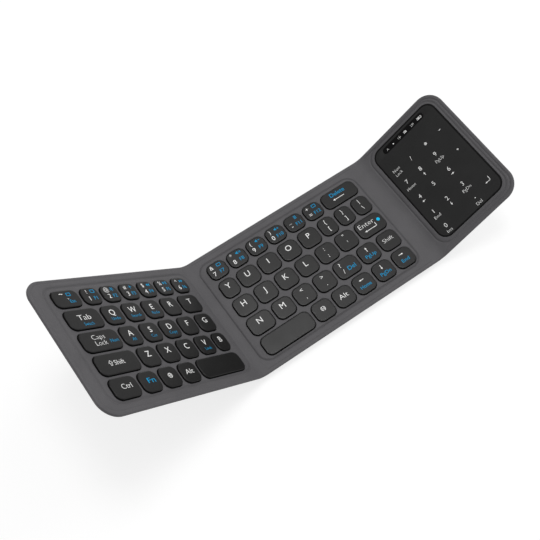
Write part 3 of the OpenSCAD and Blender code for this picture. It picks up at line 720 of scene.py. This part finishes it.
def cap_loops(k):
    """A keycap from its inner ceiling, down its inner wall, round the flange and up to the top."""
    shape = [(-KEY_WALL - 0.35, CAP_TOP - 1.1), (-KEY_WALL, CAP_TOP - 1.3), (-KEY_WALL, FOOT_Z + SOFT),
             (-KEY_WALL + SOFT, FOOT_Z), (FLANGE_W - SOFT, FOOT_Z), (FLANGE_W, FOOT_Z + SOFT),
             (FLANGE_W, FOOT_Z + FLANGE_T - SOFT), (FLANGE_W - SOFT, FOOT_Z + FLANGE_T),
             (0.12, FOOT_Z + FLANGE_T), (0.0, FOOT_Z + FLANGE_T + 0.12)]
    for a in np.linspace(0, math.pi / 2, 7):
        shape.append((CAP_ROUND * (math.cos(a) - 1), CAP_TOP + CAP_ROUND * (math.sin(a) - 1)))
    shape += [(-1.1, CAP_TOP), (-2.2, CAP_TOP)]
    return [raised(grown(k["rect"], s, 9), z) for s, z in shape]


def rings(k, shape):
    return [raised(circle(k["u"], k["y"], r), z) for r, z in shape]


def keycaps(node, keys):
    post = ((POST_R - 0.15, FOOT_Z), (POST_R, FOOT_Z + 0.15), (POST_R, CAP_TOP - 0.9))
    co, faces = lofts([loops for k in keys for loops in (cap_loops(k), rings(k, post))])
    # Faces low on the cap's sides, with flange and post, take the darker plastic: painted shade of the key wells
    mat = [int(all(co[i][2] < SKIRT_SHADE_Z for i in face)) for face in faces]
    obj = make(node.replace("key", "cap", 1), bend(co), faces, [KEYCAP, SKIRT_SHADE], mat_index=mat, angle=40.0)
    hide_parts(node)
    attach(obj, node)


for node, keys in groups.items():
    keycaps(node, keys)

# ---------------------------------------------------------------- rubber domes

DOME_Z = FOOT_Z - (KEY_TRAVEL + CLEAR)
DOME_SHEET_T = 0.3
# Radius of a dome's hollow at the sheet's underside and upper side, and of its foot
HOLLOW_LOW, HOLLOW_TOP, DOME_R = 2.75, 2.4, 3.2
DOME_SHAPE = [(1.45, 0.8), (HOLLOW_TOP, 0.0), (DOME_R, 0.0), (3.16, 0.06), (1.96, 1.16), (1.82, 1.25)]


def domes(node, keys, panel):
    """Domes under a group of keys."""
    co, faces = lofts([rings(k, [(r, DOME_Z + z) for r, z in DOME_SHAPE]) for k in keys])
    obj = make(node.replace("key", "dome", 1), bend(co), faces, [SILICONE], angle=50.0)
    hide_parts(panel + "_dome_sheet")
    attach(obj, panel + "_panel")
    foot = bend([(keys[0]["u"], keys[0]["y"], DOME_Z)])[0] * MM
    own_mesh(obj)


def dome_sheet(panel, keys):
    """The CAD's rubber sheet with an open hole in place of each dome."""
    base, above = bend([(keys[0]["u"], 0, DOME_Z), (keys[0]["u"], 0, DOME_Z + 1)])
    up = above - base
    bm = bmesh.new()
    bm.from_mesh(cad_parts[panel + "_dome_sheet"].data)
    bmesh.ops.remove_doubles(bm, verts=bm.verts, dist=1e-6)

    def height(v):
        return float((np.array(v.co) / MM - base) @ up)

    bmesh.ops.delete(bm, geom=[v for v in bm.verts if height(v) > 0.01], context="VERTS")
    rims = [e for e in bm.edges if e.is_boundary]
    for k in keys:
        centre = bend([(k["u"], k["y"], DOME_Z)])[0]
        near = [e for e in rims if np.linalg.norm(np.array(e.verts[0].co) / MM - centre) < DOME_R + 0.2]
        top = [e for e in near if height(e.verts[0]) > -0.01]
        low = [e for e in near if height(e.verts[0]) < -0.01]
        wall = bmesh.ops.extrude_edge_only(bm, edges=low)["geom"]
        for v in [g for g in wall if isinstance(g, bmesh.types.BMVert)]:
            p = np.array(v.co) / MM + up * DOME_SHEET_T
            v.co = (centre + (p - centre) * HOLLOW_TOP / HOLLOW_LOW) * MM
        bmesh.ops.bridge_loops(bm, edges=top + [g for g in wall if isinstance(g, bmesh.types.BMEdge)])
    bmesh.ops.recalc_face_normals(bm, faces=bm.faces)
    mesh = bpy.data.meshes.new(panel + "_rubber_sheet")
    bm.to_mesh(mesh)
    bm.free()
    mesh.materials.append(SILICONE)
    obj = place_mesh(mesh, 30.0)
    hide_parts(panel + "_dome_sheet")
    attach(obj, panel + "_panel")
    for node in dict.fromkeys(k["node"] for k in keys):
        domes(node, groups[node], panel)


for panel, keys in KEYS.items():
    dome_sheet(panel, keys)

# ---------------------------------------------------------------- printing


@functools.cache
def glyphs(word):
    """Flat mesh of a word in the built-in font: its points and faces."""
    curve = bpy.data.curves.new("word", "FONT")
    curve.body = word
    curve.resolution_u = 5
    obj = bpy.data.objects.new("word", curve)
    scene.collection.objects.link(obj)
    bpy.context.view_layer.update()
    mesh = bpy.data.meshes.new_from_object(obj.evaluated_get(bpy.context.evaluated_depsgraph_get()))
    co = np.array([v.co[:2] for v in mesh.vertices], float).reshape(-1, 2)
    faces = [tuple(p.vertices)[::1 if p.normal.z > 0 else -1] for p in mesh.polygons]
    bpy.data.objects.remove(obj)
    bpy.data.curves.remove(curve)
    bpy.data.meshes.remove(mesh)
    return co, faces


CAPITAL = np.ptp(glyphs("H")[0][:, 1])


def bold(co, faces, w):
    """Thickens flat glyphs a little by pushing their border outwards."""
    out = np.zeros_like(co)
    for a, b, _ in borders(faces):
        d = co[b] - co[a]
        m = np.array([d[1], -d[0]]) / (np.linalg.norm(d) + 1e-12)
        out[a] += m
        out[b] += m
    n = np.linalg.norm(out, axis=1, keepdims=True)
    return co + np.where(n > 0.3, out / np.maximum(n, 1e-9), 0) * w


class Print:
    """Collects printed marks of one piece, at places on the unrolled keyboard."""

    MATS = [WHITE_INK, BLUE_INK, LAMP]
    ABOVE, BELOW = 0.015, 0.02

    def __init__(self):
        self.co, self.faces, self.mat = [], [], []

    def add(self, co, faces, mat):
        n = len(self.co)
        self.co += [tuple(p) for p in co]
        self.faces += [tuple(i + n for i in f) for f in faces]
        self.mat += [mat] * len(faces)

    def polygon(self, pts, mat=0):
        self.add(pts, [tuple(range(len(pts)))], mat)

    def word(self, text, x, y, height, mat=0, width=None, weight=0.0):
        """Centres a word at x, y, with capitals of the given height and, if given, the given width."""
        co, faces = glyphs(text)
        p = co * height / CAPITAL
        if width:
            p = p * [width / np.ptp(p[:, 0]), 1.0]
        p = bold(p, faces, weight - (0.03 if mat else 0.05))
        middle = (p[:, 0].max() + p[:, 0].min()) / 2
        self.add(p - [middle, height / 2] + [x, y], faces, mat)

    def line(self, a, b, w, mat=0):
        a, b = np.array(a, float), np.array(b, float)
        d = (b - a) / np.linalg.norm(b - a)
        m = np.array([-d[1], d[0]]) * w / 2
        self.polygon([a - m, b - m, b + m, a + m], mat)

    def draw(self, marks, x, y, mat=0):
        """Lines, as tuples (x0, y0, x1, y1, width), and filled forms, as lists of points, seen from x, y."""
        for m in marks:
            if isinstance(m, tuple):
                self.line((x + m[0], y + m[1]), (x + m[2], y + m[3]), m[4], mat)
            else:
                self.polygon([(x + px, y + py) for px, py in m], mat)

    def oval(self, x, y, rx, ry, w, steps=24):
        turns = np.linspace(0, 2 * math.pi, steps + 1)
        for a, b in zip(turns[:-1], turns[1:]):
            self.polygon([(x + sx * math.cos(q), y + sy * math.sin(q)) for sx, sy, q in
                          ((rx, ry, a), (rx, ry, b), (rx - w, ry - w, b), (rx - w, ry - w, a))])

    def globe(self, x, y, r):
        self.oval(x, y, r, r, 0.34)
        self.oval(x, y, r * 0.5, r, 0.3)
        self.line((x - r, y), (x + r, y), 0.3)

    def arrow(self, x, y, direction, length, w, head):
        d = np.array({"left": (-1.0, 0.0), "right": (1.0, 0.0), "up": (0.0, 1.0), "down": (0.0, -1.0)}[direction])
        m = np.array([-d[1], d[0]]) * head * 0.55
        tip = np.array([x, y]) + d * length / 2
        neck = tip - d * head
        self.line(tip - d * length, neck, w)
        self.polygon([neck - m, tip, neck + m])

    def build(self, name, z, body):
        pts, faces, source = solid(np.array(self.co, float), self.faces, z + self.ABOVE, z - self.BELOW)
        obj = make(name, bend(pts), faces, self.MATS, mat_index=[self.mat[k] for k in source], angle=20.0)
        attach(obj, body)


# ---------------------------------------------------------------- legends


def sun(rays):
    turns = [2 * math.pi * i / rays for i in range(rays)]
    return [circle(0, 0, 0.6, 12)] + [
        (math.cos(a), math.sin(a), 1.5 * math.cos(a), 1.5 * math.sin(a), 0.35) for a in turns]


def path(points, width):
    return [(*a, *b, width) for a, b in zip(points[:-1], points[1:])]


SPEAKER = [(-1.8, -0.5), (-1.1, -0.5), (-0.2, -1.2), (-0.2, 1.2), (-1.1, 0.5), (-1.8, 0.5)]
SHIFT_ARROW = path([(-1.4, 0.2), (0.0, 2.0), (1.4, 0.2), (0.6, 0.2), (0.6, -1.5), (-0.6, -1.5), (-0.6, 0.2),
                    (-1.4, 0.2)], 0.3)
FRAME = [(-1.5, 1, 1.5, 1, 0.4), (-1.5, -1, 1.5, -1, 0.4), (-1.4, -1, -1.4, 1, 0.4), (1.4, -1, 1.4, 1, 0.4)]
# Blue signs of the number row's second functions
SIGNS = {
    "1": FRAME, "7": FRAME, "=": FRAME, "2": sun(8), "3": sun(4),
    "4": [[(-1.5, 0), (0, -1.1), (0, 1.1)], [(0.1, 0), (1.6, -1.1), (1.6, 1.1)]],
    "5": [[(-1.7, -1.1), (-0.2, 0), (-1.7, 1.1)], (0.5, -1.1, 0.5, 1.1, 0.45), (1.4, -1.1, 1.4, 1.1, 0.45)],
    "6": [[(-1.5, -1.1), (0, 0), (-1.5, 1.1)], [(0.1, -1.1), (1.6, 0), (0.1, 1.1)]],
    "8": [SPEAKER, (0.5, -0.7, 1.8, 0.7, 0.4), (0.5, 0.7, 1.8, -0.7, 0.4)],
    "9": [SPEAKER, (0.5, 0, 1.9, 0, 0.4)],
    "0": [SPEAKER, (0.5, 0, 1.9, 0, 0.4), (1.2, -0.7, 1.2, 0.7, 0.4)],
    "-": [(-1, y, 1, y, 0.42) for y in (-0.9, 0, 0.9)]}
F_NAMES = {c: "F" + str(i + 1) for i, c in enumerate("1234567890-=")}
SHIFTED = dict(zip("1234567890-=", "!@#$%^&*()_+"))
OVER = {"[": "{", "]": "}", "\\": "|", ";": ":", "'": "\"", ",": "<", ".": ">"}
BLUE_UNDER = {"Q": "Undo", "W": "Search", "E": "Redo", "A": "All", "S": "Cut", "D": "Copy", "V": "Lock"}
# Words of each legend: text, place from the key's centre, height, material, width or None, extra weight
WORDS = {
    "tilde": [("~", -2.5, 4.0, 3.4, 0, None, 0.08), ("`", 0.9, -1.4, 3.4, 0, None, 0.08),
              ("Esc", 3.3, -2.0, 2.3, 1, None, 0.03)],
    "tab": [("Tab", 0.3, 1.1, 3.7, 0, 9.8, -0.02), ("Switch", 1.0, -3.8, 2.2, 1, 7.2, 0.0)],
    "caps": [("Caps", -0.8, 2.7, 3.2, 0, 9.8, -0.04), ("Lock", -0.8, -1.6, 3.2, 0, 8.9, -0.04),
             ("Num", 9.4, -1.2, 2.3, 1, 6.2, 0.0)],
    "lshift": [("Shift", 1.2, 0.4, 3.1, 0, 8.0, 0.0)],
    "rshift": [("Shift", -0.2, 0.9, 2.9, 0, 8.4, -0.03)],
    "ctrl": [("Ctrl", 1.2, 0.8, 3.3, 0, 7.8, -0.01)],
    "alt": [("Alt", 0.0, 0.6, 3.4, 0, 7.0, 0.0)],
    "fn": [("Fn", 1.2, 0.8, 3.5, 1, 6.0, 0.05)],
    "delete": [("Delete", -0.4, 2.7, 3.0, 1, 12.0, 0.04)],
    "enter": [("Enter", -2.1, 2.5, 3.5, 0, 12.8, -0.04)],
    "/": [("?", -3.9, 3.4, 3.2, 0, None, 0.04), ("/", -3.8, -1.8, 3.2, 0, None, 0.04),
          ("Del", 2.7, -1.5, 3.0, 1, 6.2, 0.03)],
    "up": [("PgUp", 0.1, -2.0, 2.5, 1, 8.4, 0.03)],
    "down": [("PgDn", 0.1, -2.0, 2.5, 1, 8.4, 0.03)],
    "left": [("Home", 0.1, -2.0, 2.5, 1, 8.4, 0.03)],
    "right": [("End", 0.1, -2.0, 2.5, 1, 6.0, 0.03)]}
for c in "ABCDEFGHIJKLMNOPQRSTUVWXYZ":
    WORDS[c] = [(c, 0.0, 1.7, 4.0, 0, None, 0.05)]
for c, word in BLUE_UNDER.items():
    WORDS[c].append((word, 0.3, -2.9, 2.1, 1, None, 0.0))
for c, word in OVER.items():
    WORDS[c] = [(word, -0.3, 3.6, 3.0, 0, None, 0.04), (c, -0.2, -2.0, 3.0, 0, None, 0.04)]


def legend(p, k):
    t, x, y = k["legend"], k["u"], k["y"]
    for text, dx, dy, *rest in WORDS.get(t, []):
        p.word(text, x + dx, y + dy, *rest)
    if t in SHIFTED:
        left = x - (2.1 if k["node"] == "keys_numbers_left" else 3.1)
        p.word(t, left, y - 1.8, 3.2, weight=0.05)
        p.word(SHIFTED[t], left, y + (2.1 if t == "-" else 3.3), 2.9, weight=0.03)
        p.draw(SIGNS[t], x + 2.5, y + 3.3, 1)
        p.word(F_NAMES[t], x + 2.5, y - 1.8, 2.5, 1, weight=0.03)
    elif t == "tilde":
        p.draw(FRAME, x + 2.7, y + 3.0, 1)
    elif t == "lshift":
        p.draw(SHIFT_ARROW, x - 5.2, y + 0.4)
    elif t == "sys":
        p.globe(x + 0.2, y + 0.8, 1.75)
    elif t == "delete":
        p.arrow(x - 1.6, y - 1.4, "left", 9.4, 0.4, 1.5)
    elif t == "enter":
        p.draw([(3.7, -2.5, 3.7, 0.2, 0.42), (-5.0, -2.5, 3.9, -2.5, 0.42),
                [(-6.4, -2.5), (-4.6, -3.3), (-4.6, -1.7)]], x, y)
        p.polygon(circle(x + 7.4, y + 0.8, 1.25, 28), 2)
    elif t in ("up", "down", "left", "right"):
        p.arrow(x - 0.3, y + 2.9, t, 3.6, 0.42, 1.3)


for node, keys in groups.items():
    p = Print()
    for k in keys:
        legend(p, k)
    if p.co:
        p.build("print_" + node.split("_", 1)[1], CAP_TOP, node)

# ---------------------------------------------------------------- touch plate

WINDOW_LEN, WINDOW_W, WINDOW_IN = 38.5, 4.6, 4.7
# Thickness of the plate, and width of its rim painted darker as shade of its gap
PLATE_T, PLATE_SHADE_BAND = 1.0, 1.0


def flat_plate(name, rect, hole, mats, r, shade_band=0.0):
    """Plate with a rounded top edge, a slot if given, and a band of the second material along its edge, painted
    shade of the gap round the plate.
    """
    steps = [r * share for share in (0.0, 0.04, 0.15, 0.35, 0.62, 1.0)] + [shade_band] * bool(shade_band)
    loops = [grown(rect, -s, 12) for s in steps]
    slots = [grown(hole, s, 10) for s in (0.0, 0.1)] if hole else []
    edges = [edge for loop in loops + slots for edge in closed(loop)]
    co, tri = triangulate(edges, loops[0], slots[:1])
    top = PANEL_T - rounded_edge(-sd_rect(co, rect), r, r)
    if hole:
        top -= rounded_edge(np.maximum(sd_rect(co, hole), 0), 0.1, 0.06)
    pts, faces, _ = solid(co, tri, top, PANEL_T - PLATE_T)
    mat = (sd_rect(middles(pts, faces), rect) > -shade_band).astype(int) if shade_band else None
    return make(name, bend(pts), faces, mats, mat_index=mat)


window_y = touch_y + TOUCH_D / 2 - WINDOW_IN
window_hole = (WINDOW_LEN + 0.1, WINDOW_W + 0.1, WINDOW_W / 2 + 0.04, touch_u, window_y)
plate = flat_plate("touch_surface", (TOUCH_W, TOUCH_D, TOUCH_R, touch_u, touch_y), window_hole,
                   [PLATE, SKIRT_SHADE], 0.35, PLATE_SHADE_BAND)
window = flat_plate("window_pane", (WINDOW_LEN, WINDOW_W, WINDOW_W / 2 - 0.01, touch_u, window_y), None,
                    [WINDOW], 0.12)

# The number pad's columns, and its words: text, column, y, height, width or None, extra weight
COLUMNS = (-20.4, -7.5, 6.8, 20.2)
PAD_WORDS = [(word, c, y, 3.1, None, 0.03) for word, c, y in (
    ("/", 1, 19.2), ("7", 0, 8.9), ("8", 1, 8.9), ("9", 2, 8.9), ("4", 0, -5.7), ("5", 1, -5.7),
    ("6", 2, -5.7), ("1", 0, -20.2), ("2", 1, -20.2), ("3", 2, -20.2), ("0", 0, -33.5))]
PAD_WORDS += [(word, c, y, 2.2, width, 0.0) for word, c, y, width in (
    ("Num", 0, 20.8, 5.8), ("Lock", 0, 17.4, 5.8), ("Home", 0, 3.7, 7.6), ("PgUp", 2, 3.9, 7.0),
    ("End", 0, -24.9, 5.2), ("PgDn", 2, -25.0, 7.0), ("Ins", 0, -38.0, 4.2), ("Del", 2, -38.0, 4.6))]
PAD_ARROWS = [("up", 1, 3.9), ("left", 0, -10.1), ("right", 2, -10.1), ("down", 1, -25.0)]
STAR = [(-1.1 * math.cos(a), -1.1 * math.sin(a), 1.1 * math.cos(a), 1.1 * math.sin(a), 0.5)
        for a in (math.pi * (i / 3 + 1 / 6) for i in range(3))]
# Minus, star, plus, point and return, with their places on the plate
PAD_SIGNS = [([(-0.8, 0, 0.8, 0, 0.4)], COLUMNS[3], 19.2),
             (STAR, COLUMNS[2], 19.2),
             ([(-0.7, 0, 0.7, 0, 0.36), (0, -0.7, 0, 0.7, 0.36)], COLUMNS[3], -0.2),
             ([circle(0, 0, 0.36, 12)], COLUMNS[2], -33.8),
             ([(-1.7, -1.4, 1.7, -1.4, 0.38), (1.6, -1.4, 1.6, 1.6, 0.38),
               [(-2.6, -1.4), (-1.5, -2.0), (-1.5, -0.8)]], COLUMNS[3] + 0.6, -30.2)]

p = Print()
for word, c, y, height, width, weight in PAD_WORDS:
    p.word(word, touch_u + COLUMNS[c], touch_y + y, height, 0, width, weight)
for direction, c, y in PAD_ARROWS:
    p.arrow(touch_u + COLUMNS[c], touch_y + y, direction, 2.6, 0.35, 1.3)
for marks, x, y in PAD_SIGNS:
    p.draw(marks, touch_u + x, touch_y + y)
p.build("print_touch", PANEL_T, "right_panel")

# Small marks in the indicator window: place along it, word with its place, and lines or forms
WAVES = [(0.5, -0.8, 0.5, 0.8, 0.3), (1.3, -0.5, 1.3, 0.5, 0.3)]
BATTERY = [(-1.8, 0.65, 1.8, 0.65, 0.28), (-1.8, -0.65, 1.8, -0.65, 0.28), (-1.8, -0.7, -1.8, 0.7, 0.28),
           (1.8, -0.7, 1.8, 0.7, 0.28), (-1.2, 0, 0.6, 0, 0.6)]
LIGHTS = [(-15.4, "A", 0.0, []), (-9.7, "", 0.0, [circle(0, 0, 0.5, 12)]), (-4.1, "1", -0.7, WAVES),
          (1.9, "", 0.0, [(-1.2, -0.4, 1.2, -0.4, 0.5), (-1.2, 0.5, 1.2, 0.5, 0.5)]),
          (8.5, "2", -0.7, WAVES), (15.5, "", 0.0, BATTERY)]
p = Print()
for x, word, dx, marks in LIGHTS:
    x, y = touch_u + x, touch_y + 36.4
    if word:
        p.word(word, x + dx, y, 1.6)
    p.draw(marks, x, y)
p.build("print_window", PANEL_T, "right_panel")

# ---------------------------------------------------------------- ribbon cables

RIBBON_W, RIBBON_END = 18.0, 2.5
# Depths of the underside and upper side below the leather's face: along the film and at its stiff ends
STRIP, STIFF = (1.1, 0.9), (1.15, 0.85)
TRACES, TRACE_PITCH, TRACE_W, TRACE_UP = 10, 1.8, 1.0, 0.03


def ribbon(side):
    """Film between the leather layers of a fold, with raised traces and stiffened ends."""
    sign = SIGN[side]
    stations = [(M_END - RIBBON_END, STIFF), (M_END + 0.3, STIFF)]
    stations += [(u, STRIP) for u in np.linspace(M_END + 0.31, PANEL0[side] - 0.31, 25)]
    stations += [(PANEL0[side] - 0.3, STIFF), (PANEL0[side] + RIBBON_END, STIFF)]
    loops = []
    for u, (low, high) in stations:
        loop = [(RIBBON_W / 2, -low), (-RIBBON_W / 2, -low), (-RIBBON_W / 2, -high)]
        for i in range(TRACES):
            y = TRACE_PITCH * (i - (TRACES - 1) / 2)
            w = TRACE_W / 2
            loop += [(y - w, -high), (y - w + 0.08, TRACE_UP - high), (y + w - 0.08, TRACE_UP - high),
                     (y + w, -high)]
        loop.append((RIBBON_W / 2, -high))
        loops.append([(sign * u, sign * y, PANEL_T + z) for y, z in reversed(loop)])
    co, faces = lofts([loops])
    return make(side + "_ribbon_film", bend(co), faces, [RIBBON], angle=30.0)


ribbons = {side: ribbon(side) for side in SIGN}

# ---------------------------------------------------------------- who carries what

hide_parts("touch_plate")
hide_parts("indicator_window")
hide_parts("middle_front_skin")
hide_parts("middle_back_skin")
for obj in (front["middle"], back["middle"]):
    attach(obj, "middle_panel")
for obj in (plate, window):
    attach(obj, "right_panel")


def fold_point(side, share):
    """A point of the fold, from the middle panel at 0 to the outer panel at 1."""
    u = SIGN[side] * (BEND0[side] + ARC[side] * share)
    return tuple(bend(np.array([[u, 0.0, PANEL_T - 1]]))[0] * MM)


for side in SIGN:
    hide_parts(side + "_ribbon")
    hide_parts(side + "_front_skin", side + "_fold_bands")
    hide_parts(side + "_back_skin", side + "_fold_bands")
    for obj in (front[side], back[side], ribbons[side]):
        fold_point(side, 0.95)
        fold_point(side, 0.05)
        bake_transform(obj)

NODE_MATERIALS = {
    "key_frame": BLACK, "right_frame": BLACK, "tray": BLACK, "dome_sheet": SILICONE, "membrane": FILM,
    "touch_board": BOARD, "main_board": BOARD, "battery": FOIL, "charging_port": STEEL}
for name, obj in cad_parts.items():
    for part, mat in NODE_MATERIALS.items():
        if name.endswith(part):
            obj.data.materials.clear()
            obj.data.materials.append(mat)

# ---------------------------------------------------------------- floor

# The camera sees it mixed with plain white, all white far out, and it keeps the object's shadow near by
floor_mesh = bpy.data.meshes.new("floor")
floor_mesh.from_pydata([(-4, -4, 0), (4, -4, 0), (4, 4, 0), (-4, 4, 0)], [], [(0, 1, 2, 3)])
floor = bpy.data.objects.new("floor", floor_mesh)
floor.location.z = -0.0003
scene.collection.objects.link(floor)
m, t, b = material("floor_paper")
place = add(t, "TexCoord")
ramp(noise(place, Scale=3.0, Detail=4.0), "Fac", (0.3, 0.93), (0.7, 0.945), b, "Base Color")
put(b, Roughness=0.9, Specular_IOR_Level=0.1)
rays = add(t, "LightPath")
seen = add(t, "Math", operation="MAXIMUM")
share = add(t, "Math", operation="MULTIPLY")
reach = add(t, "VectorMath", operation="LENGTH")
fade = add(t, "MapRange", From_Min=0.45, From_Max=1.4, To_Min=0.66, To_Max=1.0)
mixer = add(t, "MixShader")
link(rays, "Is Camera Ray", seen, 0)
link(rays, "Is Glossy Ray", seen, 1)
link(place, "Object", reach, 0)
link(reach, "Value", fade, "Value")
link(seen, "Value", share, 0)
link(fade, "Result", share, 1)
link(share, "Value", mixer, "Fac")
link(b, "BSDF", mixer, 1)
link(add(t, "Emission", Strength=1.12), "Emission", mixer, 2)
link(mixer, "Shader", t.nodes["Material Output"], "Surface")
floor_mesh.materials.append(m)
